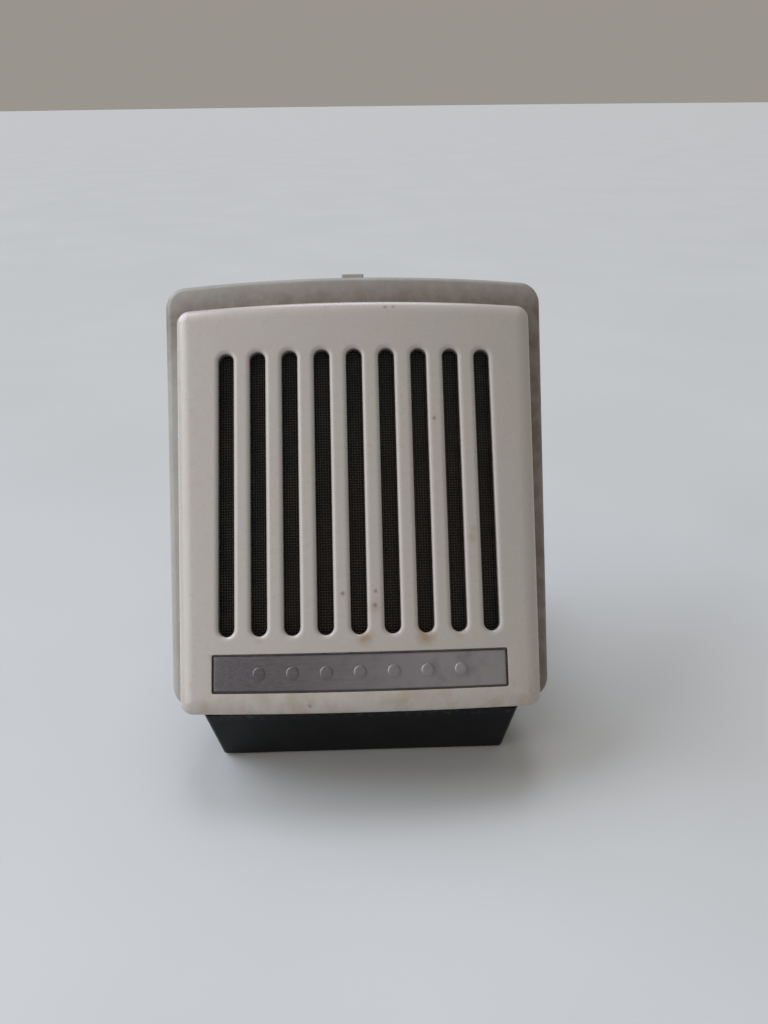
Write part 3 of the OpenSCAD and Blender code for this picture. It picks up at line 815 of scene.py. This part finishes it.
def woven_gauze():
    """Plain-woven gauze over a black sheet that stands in for the shade inside the head. Each thread passes over
    and under its neighbours.
    """
    pitch = 0.50
    thread_r, thread_flat, wave = 0.097, 0.75, 0.08
    post_clear = 2.35
    across, up = gauze_high[0] * 2, gauze_high[2] - gauze_low[2]
    xs = [-across / 2 + pitch * (i + 0.5) for i in range(int(across / pitch))]
    zs = [gauze_low[2] + pitch * (j + 0.5) for j in range(int(up / pitch))]
    middle = PLATE_WALL + 0.22
    shade_sheet_front, shade_sheet_back = middle + 0.20, middle + 0.23
    bm = bmesh.new()

    def clear(x, z):
        """True where no screw post passes through the gauze."""
        return all(math.hypot(abs(x) - POST_X, z - post_z) > post_clear for post_z in POST_Z)

    def crossing(i, j):
        """Depth of a thread's crossing, by turns behind and before its neighbour."""
        return middle + (wave if (i + j) % 2 else -wave)

    def thread(points, side_x, side_z):
        """A four-sided thread through its points, broken where a screw post stands in its way."""
        runs = [[]]
        for x, depth, z in points:
            if not clear(x, z):
                runs.append([])
                continue
            y = face_y(x) + depth
            runs[-1].append([
                bm.verts.new((x + side_x, y, z + side_z)),
                bm.verts.new((x, y + thread_r * thread_flat, z)),
                bm.verts.new((x - side_x, y, z - side_z)),
                bm.verts.new((x, y - thread_r * thread_flat, z)),
            ])
        for run in runs:
            if run:
                loft(bm, run)
                bm.faces.new(run[0])
                bm.faces.new(run[-1])

    for i, x in enumerate(xs):
        thread([(x, crossing(i, j), z) for j, z in enumerate(zs)], thread_r, 0)
    for j, z in enumerate(zs):
        thread([(x, crossing(i, j + 1), z) for i, x in enumerate(xs)], 0, thread_r)
    # A near-black sheet behind the threads: painted shade where the inside of the head lies in shadow.
    shade_sheet = (26.0, 26.0, gauze_low[2] + 0.1, gauze_high[2] - 0.1, 0.3)
    depths = (shade_sheet_front, shade_sheet_back)
    sides = [add_ring(bm, rounded_ring(*shade_sheet), depth) for depth in depths]
    loft(bm, sides)
    for side, depth in zip(sides, depths):
        fill(bm, side, [], depth, grid=(2.6, 5.2))
    piece = finish_mesh(bm, "woven_gauze", HEAD_TO_WORLD, 180)
    mark(piece, "shade_sheet", lambda p: float(p.y - face_y(p.x) > shade_sheet_front - 0.01))
    return piece


def blend_shapes(a, b, t):
    """Numbers part of the way from one set to another."""
    return tuple(p + (q - p) * t for p, q in zip(a, b))


def housing_envelope():
    """The housing's smooth outer form: a rounded rim, tapering sides and a soft back edge."""
    margin = 0.04
    rim_round = 1.3
    rim = (RIM_HALF_BOTTOM, RIM_HALF_TOP, 0.0, RIM_H, 3.8)
    back = (34.0, 34.0, 8.5, 75.5, 7.0)
    side_from, side_to, taper_to, back_round = 10.5, 20.4, 22, 3.5
    side_steps, back_steps = 4, 8
    bm = bmesh.new()

    def tapered(y):
        """The outline at a depth, from the rim's shape to the back's."""
        return blend_shapes(rim, back, min(1.0, (y - side_from) / (taper_to - side_from)))

    rings = [
        add_ring(bm, rounded_ring(*rim, margin + inset), RIM_GAP + margin + depth)
        for inset, depth in quarter(rim_round, 6)
    ]
    rings.append(add_ring(bm, rounded_ring(*rim, margin), side_from - 1.4, 0.35))
    for i in range(1, side_steps + 1):
        y = side_from + (side_to - side_from) * i / side_steps
        rings.append(add_ring(bm, rounded_ring(*tapered(y), margin), y, 0.0))
    for i in range(1, back_steps + 1):
        turn = math.pi / 2 * i / back_steps
        y = side_to + (HOUSING_BACK - margin - side_to) * math.sin(turn)
        inset = margin + back_round * (1 - math.cos(turn))
        rings.append(add_ring(bm, rounded_ring(*tapered(y), inset), y, 0.0))
    loft(bm, rings)
    fill(bm, rings[0], [], RIM_GAP + margin, grid=(2.4, 4.0))
    fill(bm, rings[-1], [], HOUSING_BACK - margin, 0.0, grid=(4.0, 6.0))
    return finish_mesh(bm, "housing_envelope", HEAD_TO_WORLD)


def box_tool(name, low, high, to_world):
    """A plain box used only to cut with."""
    bm = bmesh.new()
    bmesh.ops.create_cube(bm, size=1.0)
    for v in bm.verts:
        v.co = Vector([(a + b) / 2 + c * (b - a) for a, b, c in zip(low, high, v.co)])
    return finish_mesh(bm, name, to_world)


def cut(piece, tool, kind):
    """Combines a piece with a tool and throws the tool away."""
    boolean = piece.modifiers.new(kind, "BOOLEAN")
    boolean.operation = kind
    boolean.solver = "EXACT"
    boolean.object = tool
    apply_modifiers(piece)
    bpy.data.objects.remove(tool)
    return piece


def join(name, pieces):
    """One object from several meshes."""
    bm = bmesh.new()
    for piece in pieces:
        bm.from_mesh(piece.data)
        bpy.data.objects.remove(piece)
    return finish_mesh(bm, name, Matrix.Identity(4), 34)


def rear_housing():
    """The housing: its CAD inside, cut back to a smooth outer form, with its hinge lug and nub."""
    shell = cut(cad_copy("rear_housing", "shell"), housing_envelope(), "INTERSECT")
    lug = cut(
        cad_copy("rear_housing", "lug"),
        box_tool("lug_box", (-9, HOUSING_BACK - 0.6, 14), (9, 32, 22), HEAD_TO_WORLD),
        "INTERSECT",
    )
    nub = box_tool("nub", (-2.15, 6.0, RIM_H - 0.5), (2.15, 8.4, RIM_H + 0.75), HEAD_TO_WORLD)
    bevel = nub.modifiers.new("bevel", "BEVEL")
    bevel.width = 0.22 * MM
    bevel.segments = 3
    apply_modifiers(nub)
    piece = weigh_normals(join("housing_shell", [shell, lug, nub]))

    def edge(p):
        """High on the outer edges of the rim and the back."""
        depth = p.y - face_y(p.x)
        near_rim = 1 - min(1.0, abs(depth - RIM_GAP - 0.5))
        near_back = 1 - min(1.0, abs(p.y - 22.6) / 1.6)
        outside = abs(p.x) > 30 or p.z > 72 or p.z < 12
        return max(0.0, near_rim, near_back) if outside else 0.0

    def shelf(p):
        """The front of the rim, which shows round the plate."""
        return float(p.y - face_y(p.x) < RIM_GAP + 0.7)

    mark(piece, "edge", edge)
    mark(piece, "shelf", shelf)
    return piece


# ---------- shapes inside the head, and its small parts ----------


def head_piece(bm, name, sharp_angle=38):
    """A finished piece from a bmesh drawn in the upright head."""
    return weigh_normals(finish_mesh(bm, name, HEAD_TO_WORLD, sharp_angle))


def grommet():
    """The rubber cable inlet: a clamped foot, a flange and a neck with two soft ribs."""
    hole_r, neck_r, rib_r = 2.2, 3.6, 3.88
    bm = bmesh.new()
    inner = [(hole_r, -3.2), (2.4, -3.4), (4.4, -3.4), (4.6, -3.2), (4.6, -2.4)]
    inner += [(neck_r, -2.2), (neck_r, 0.05)]
    neck = [(5.05, 0.1), (5.2, 0.3), (5.2, 1.2), (4.9, 1.55), (3.75, 1.75)]
    for y in (2.5, 3.7):
        neck += [(neck_r, y - 0.45), (rib_r, y - 0.15), (rib_r, y + 0.15), (neck_r, y + 0.45)]
    neck += [(neck_r, 4.7), (3.35, 4.95), (2.5, 5.0), (hole_r, 4.75)]
    turned(bm, 0, INLET_Z, [(r, HOUSING_BACK + y) for r, y in inner + neck], 56)
    return head_piece(bm, "grommet")


def disc(name, r, front, back, ease=0.15):
    """A solid round plate with eased edges, on the capsule's axis."""
    bm = bmesh.new()
    edge = [(0.0, front), (r - ease, front), (r, front + ease), (r, back - ease), (r - ease, back)]
    turned(bm, 0, CAPSULE_Z, edge + [(0.0, back)], 64)
    return head_piece(bm, name)


def ring(name, r_in, r_out, front, back, ease):
    """A plain ring with eased edges, on the capsule's axis."""
    bm = bmesh.new()
    profile = [
        (r_in + ease, front), (r_out - ease, front), (r_out, front + ease), (r_out, back - ease),
        (r_out - ease, back), (r_in + ease, back), (r_in, back - ease), (r_in, front + ease),
    ]
    turned(bm, 0, CAPSULE_Z, profile, 72)
    return head_piece(bm, name)


def cup():
    """The deep-drawn yoke, with round bends at its floor and an eased rim."""
    bm = bmesh.new()
    outer = [(0.0, 19.0), (9.2, 19.0), (9.7, 18.8), (10.0, 18.3)]
    rim = [(10.0, 10.75), (9.85, 10.6), (8.45, 10.6), (8.3, 10.75)]
    inner = [(8.3, 16.9), (8.1, 17.3), (7.8, 17.4), (0.0, 17.4)]
    turned(bm, 0, CAPSULE_Z, outer + rim + inner, 72)
    return head_piece(bm, "drawn_cup")


def wound_coil():
    """The voice coil: a thin former with round turns of wire side by side."""
    front, back = 9.4, 13.3
    former_r, valley_r, wire_r = 7.12, 7.36, 7.47
    turns = 18
    pitch = (back - front) / turns
    bm = bmesh.new()
    profile = [(former_r, back), (former_r, front)]
    for i in range(turns):
        y = front + pitch * i
        profile += [(valley_r, y + pitch * 0.04), (wire_r, y + pitch * 0.3), (wire_r, y + pitch * 0.7)]
    turned(bm, 0, CAPSULE_Z, profile + [(valley_r, back)], 72)
    return head_piece(bm, "wound_coil", 60)


def ribbed_diaphragm():
    """The film: a dome inside the coil and a surround pressed into fine concentric ribs."""
    dome_edge, rise, dome_top, dome_wall = 7.1, 1.0, 8, 0.2
    surround_in, surround_width = 7.3, 7.75
    surround_front, surround_back = 9.10, 9.22
    rib_h, rib_pitch = 0.035, 1.3
    dome_steps, surround_steps = 12, 48
    bm = bmesh.new()
    dome_r = (dome_edge ** 2 + rise) / 2
    centre = dome_top + dome_r
    front, back = [], []
    for i in range(dome_steps + 1):
        r = dome_edge * i / dome_steps
        front.append((r, centre - math.sqrt(dome_r ** 2 - r * r)))
        back.append((r, centre - math.sqrt((dome_r - dome_wall) ** 2 - r * r)))
    for i in range(surround_steps + 1):
        r = surround_in + surround_width * i / surround_steps
        rib = rib_h * math.sin(2 * math.pi * (r - surround_in) / rib_pitch)
        front.append((r, surround_front + rib))
        back.append((r, surround_back + rib))
    turned(bm, 0, CAPSULE_Z, front + back[::-1], 72)
    return head_piece(bm, "ribbed_film", 60)


def layered_winding():
    """The transformer's coil: square turns with round corners, wound one over another."""
    bm = bmesh.new()
    box_low, box_high = head_box("transformer_winding")
    middle = [(a + b) / 2 for a, b in zip(box_low, box_high)]
    half_x, half_y = (box_high[0] - box_low[0]) / 2, (box_high[1] - box_low[1]) / 2
    bore_inset, bore_round, coil_round = 2.12, 0.3, 1.2
    wire_in, valley_in = 0.03, 0.16
    turns = 19
    pitch = (box_high[2] - box_low[2]) / turns

    def square(inset, r, z):
        outline = rounded_ring(half_x, half_x, -half_y, half_y, r, inset, across=2, up=2, corner=6)
        return [bm.verts.new((middle[0] + x, middle[1] + y, z)) for x, y in outline]

    rings = [square(bore_inset, bore_round, box_low[2] + 0.05)]
    for i in range(turns):
        z = box_low[2] + pitch * i
        for inset, along in ((valley_in, 0.06), (wire_in, 0.3), (wire_in, 0.7)):
            rings.append(square(inset, coil_round, z + pitch * along))
    rings.append(square(valley_in, coil_round, box_high[2] - 0.02))
    rings.append(square(bore_inset, bore_round, box_high[2] - 0.05))
    loft(bm, rings + [rings[0]])
    return head_piece(bm, "layered_winding", 60)


def round_wires():
    """The leads, rounded from their CAD tubes."""
    piece = cad_copy("lead_wires", "round_wires", 60)
    smooth = piece.modifiers.new("smooth", "SUBSURF")
    smooth.levels = smooth.render_levels = 2
    return apply_modifiers(piece)


def ribbed_sole():
    """The rubber sole, its edge eased and its underside cut by shallow grooves."""
    piece = soften("rubber_sole", 0.18, 3)
    low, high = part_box("rubber_sole")
    low, high = low / MM, high / MM
    ribs, margin, groove_half, groove_depth = 12, 3, 0.4, 0.22
    step = (high.y - low.y) / ribs
    for i in range(1, ribs):
        y = low.y + step * i
        corners = (
            (low.x + margin, y - groove_half, -0.5),
            (high.x - margin, y + groove_half, groove_depth),
        )
        cut(piece, box_tool("groove", *corners, FOOT_TO_WORLD), "DIFFERENCE")
    return piece


# ---------- camera, light and floor ----------


def add_camera():
    """A phone's wide lens close above the table, looking down on the face."""
    data = bpy.data.cameras.new("camera")
    data.sensor_width = 36
    data.lens = 27.03
    data.clip_start = 0.005
    camera = bpy.data.objects.new("camera", data)
    camera.location = (0.00212, -0.13774, 0.11323)
    yaw = Matrix.Rotation(math.radians(-1.30), 4, "Z")
    pitch = Matrix.Rotation(math.radians(61.63), 4, "X")
    roll = Matrix.Rotation(math.radians(-0.69), 4, "Z")
    camera.rotation_euler = (yaw @ pitch @ roll).to_euler()
    bpy.context.scene.collection.objects.link(camera)
    bpy.context.scene.camera = camera


def add_sun(name, toward, strength, spread, color):
    """Even light from one direction, from a broad soft patch of sky or window."""
    data = bpy.data.lights.new(name, "SUN")
    data.energy = strength
    data.angle = math.radians(spread)
    data.color = color
    light = bpy.data.objects.new(name, data)
    light.rotation_euler = Vector(toward).to_track_quat("Z", "Y").to_euler()
    bpy.context.scene.collection.objects.link(light)


def add_studio():
    """A pale floor in a warm grey room, under a broad cool window to the left."""
    world = bpy.data.worlds.new("studio")
    world.use_nodes = True
    background = world.node_tree.nodes["Background"]
    background.inputs["Color"].default_value = (0.320, 0.297, 0.265, 1)
    background.inputs["Strength"].default_value = 1.0
    bpy.context.scene.world = world
    bpy.context.scene.view_settings.view_transform = "Standard"
    add_sun("window", (-0.72, 0.25, 0.62), 2.30, 45, (0.93, 1.0, 1.10))
    add_sun("ceiling", (0.0, 0.50, 0.84), 0.85, 30, (0.97, 1.0, 1.06))
    add_sun("doorway", (-0.88, -0.34, 0.34), 0.80, 35, (1.0, 0.99, 0.985))
    add_sun("room", (0.0, -0.85, 0.45), 0.33, 80, (1.0, 0.985, 0.97))

    bm = bmesh.new()
    bmesh.ops.create_circle(bm, cap_ends=True, radius=12.0, segments=96)
    floor = finish_mesh(bm, "floor", Matrix.Identity(4))
    s = Shader("pale_floor", head=False)
    cloud = s.ramp(s.noise(0.012, 3, 0.5), 0.3, 0.7)
    color = s.mix(cloud, (0.480, 0.490, 0.500), (0.500, 0.510, 0.520))
    floor.data.materials.append(s.finish(color, 0.5, s.noise(0.4, 2, 0.5), 0.02))


add_camera()
add_studio()

steel = ((0.60, 0.60, 0.61), (0.40, 0.40, 0.41), 0.30)
head_steel = brushed("bright_steel", *steel)
foot_steel = brushed("bright_steel_foot", *steel, head=False)
brass = brushed("brass_washer", (0.62, 0.47, 0.21), (0.42, 0.30, 0.12), 0.32, head=False)
zinc = lathed("zinc_steel", (0.56, 0.55, 0.50), (0.40, 0.39, 0.35), 0.30)
basket = lathed("cast_aluminium", (0.52, 0.52, 0.53), (0.36, 0.36, 0.37), 0.38)
alloy = lathed("magnet_alloy", (0.20, 0.20, 0.21), (0.09, 0.09, 0.10), 0.46, 0.5)
rubber = (0.016, 0.016, 0.018)
head_rubber = moulded("black_rubber", rubber, 0.62)
sole_rubber = moulded("black_rubber_foot", rubber, 0.66, head=False)
dark_plastic = (0.022, 0.022, 0.024)
frame_plastic = moulded("dark_plastic", dark_plastic, 0.55)
cover_plastic = moulded("dark_plastic_foot", dark_plastic, 0.55, head=False)
paint = moulded("dark_painted_metal", (0.030, 0.030, 0.032), 0.42, relief=0.02)
copper = copper_wire()
board = phenolic()

# pieces drawn afresh: shape, CAD node, body, slot, material
drawn = (
    (front_grille(), "front_grille", "head", "ivory_plastic", ivory_plastic()),
    (badge_plate(), "badge", "head", "badge_metal", badge_metal()),
    (woven_gauze(), "gauze", "head", "gauze_wire", gauze_wire()),
    (rear_housing(), "rear_housing", "head", "grey_plastic", grey_plastic()),
    (grommet(), "cable_grommet", "head", "black_rubber", head_rubber),
    (
        ring("mount_ring", 17.05, 19.1, 8.0, 13.0, 0.3),
        "capsule_mount_ring", "head", "black_rubber", head_rubber,
    ),
    (cup(), "yoke_cup", "head", "zinc_steel", zinc),
    (disc("magnet_slug", 6.4, 12.45, 17.35), "magnet", "head", "magnet_alloy", alloy),
    (disc("pole_disc", 6.7, 10.6, 12.4, 0.1), "pole_plate", "head", "zinc_steel", zinc),
    (wound_coil(), "voice_coil", "moving_coil", "copper_wire", copper),
    (ribbed_diaphragm(), "diaphragm", "moving_coil", "diaphragm_film", diaphragm_film()),
    (ring("felt_ring", 10.3, 15.2, 13.25, 14.25, 0.25), "damping_felt", "head", "felt", felt()),
    (layered_winding(), "transformer_winding", "head", "copper_wire", copper),
    (round_wires(), "lead_wires", "head", "wire_insulation", wire_insulation()),
    (ribbed_sole(), "rubber_sole", "foot", "black_rubber", sole_rubber),
)
for shape, node, body, slot, material in drawn:
    stand_for(shape, node, body, material)

# CAD nodes that only need softer edges: node, width, segments, body, slot, material
softened = (
    ("badge_pins", 0.12, 2, "head", "bright_steel", head_steel),
    ("gauze_frame", 0.12, 2, "head", "dark_plastic", frame_plastic),
    ("housing_screws", 0.14, 2, "head", "bright_steel", head_steel),
    ("capsule_basket", 0.15, 2, "head", "cast_aluminium", basket),
    ("capsule_cover", 0.08, 2, "head", "dark_painted_metal", paint),
    ("transformer_core", 0.1, 2, "head", "lamination_steel", lamination_steel()),
    ("transformer_bobbin", 0.12, 2, "head", "phenolic", board),
    ("transformer_bracket", 0.12, 2, "head", "bright_steel", head_steel),
    ("terminal_board", 0.1, 2, "head", "phenolic", board),
    ("solder_tags", 0.12, 2, "head", "tinned_tag", tinned_tag()),
    ("inner_screws", 0.12, 2, "head", "bright_steel", head_steel),
    ("hinge_pin", 0.14, 2, "foot", "bright_steel", foot_steel),
    ("hinge_washers", 0.08, 2, "foot", "brass_washer", brass),
    ("hinge_clips", 0.08, 2, "foot", "bright_steel", foot_steel),
    ("foot_shell", 0.35, 3, "foot", "black_plastic", black_plastic()),
    ("foot_ballast", 0.5, 3, "foot", "ballast_iron", iron_casting()),
    ("foot_cover", 0.15, 2, "foot", "dark_plastic", cover_plastic),
    ("foot_screws", 0.12, 2, "foot", "bright_steel", foot_steel),
)
for node, width, segments, body, slot, material in softened:
    stand_for(soften(node, width, segments), node, body, material)
